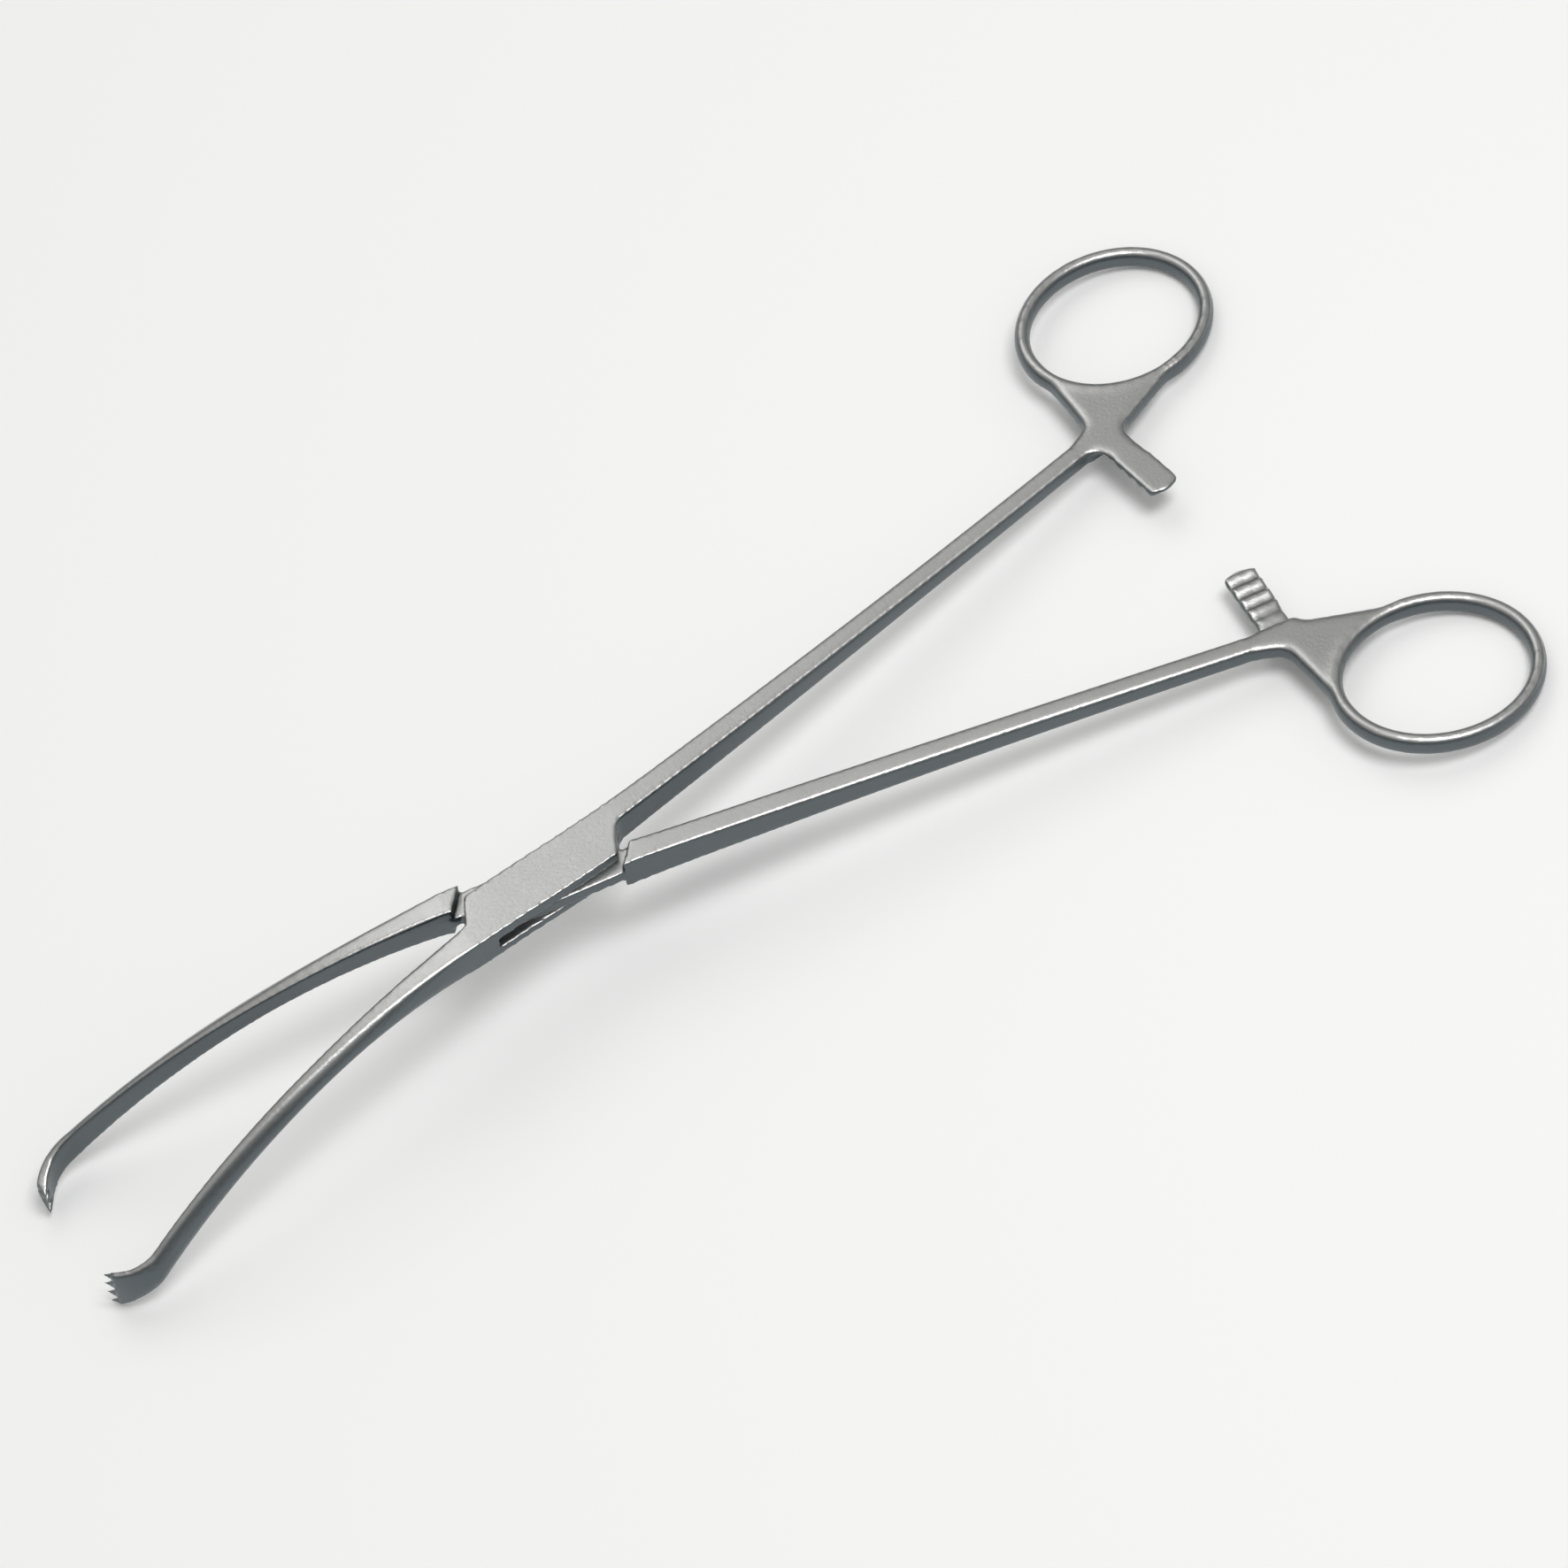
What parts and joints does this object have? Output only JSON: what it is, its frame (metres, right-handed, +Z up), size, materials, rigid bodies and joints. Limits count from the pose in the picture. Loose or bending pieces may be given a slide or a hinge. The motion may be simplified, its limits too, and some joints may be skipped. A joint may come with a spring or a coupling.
{
  "type": "vulsellum forceps",
  "caption": "Long ring-handled surgical forceps with downward curving jaws ending in toothed hooks, joined by a box lock, with a ratchet bar beside each finger ring.",
  "frame": {"origin": "on the surface that the forceps lie on, under the middle of their bounding box", "axes": "+X from the finger rings to the hooks, +Y towards the finger ring of the tongue arm, +Z up"},
  "size_m": [0.2335, 0.1166, 0.0233],
  "materials": {
    "arm_steel": "satin, bead blasted",
    "pin_steel": "satin, ground flush"
  },
  "bodies": {
    "box_arm": {"box_arm": "arm_steel", "hinge_pin": "pin_steel"},
    "tongue_arm": {"tongue_arm": "arm_steel"}
  },
  "joints": [
    {"name": "box_lock", "type": "hinge", "parent": "box_arm", "child": "tongue_arm", "pos_m": [0.0303, 0, 0.01873], "axis": [0.1153, 0, -0.9933], "range_deg": [-12, 48]}
  ]
}
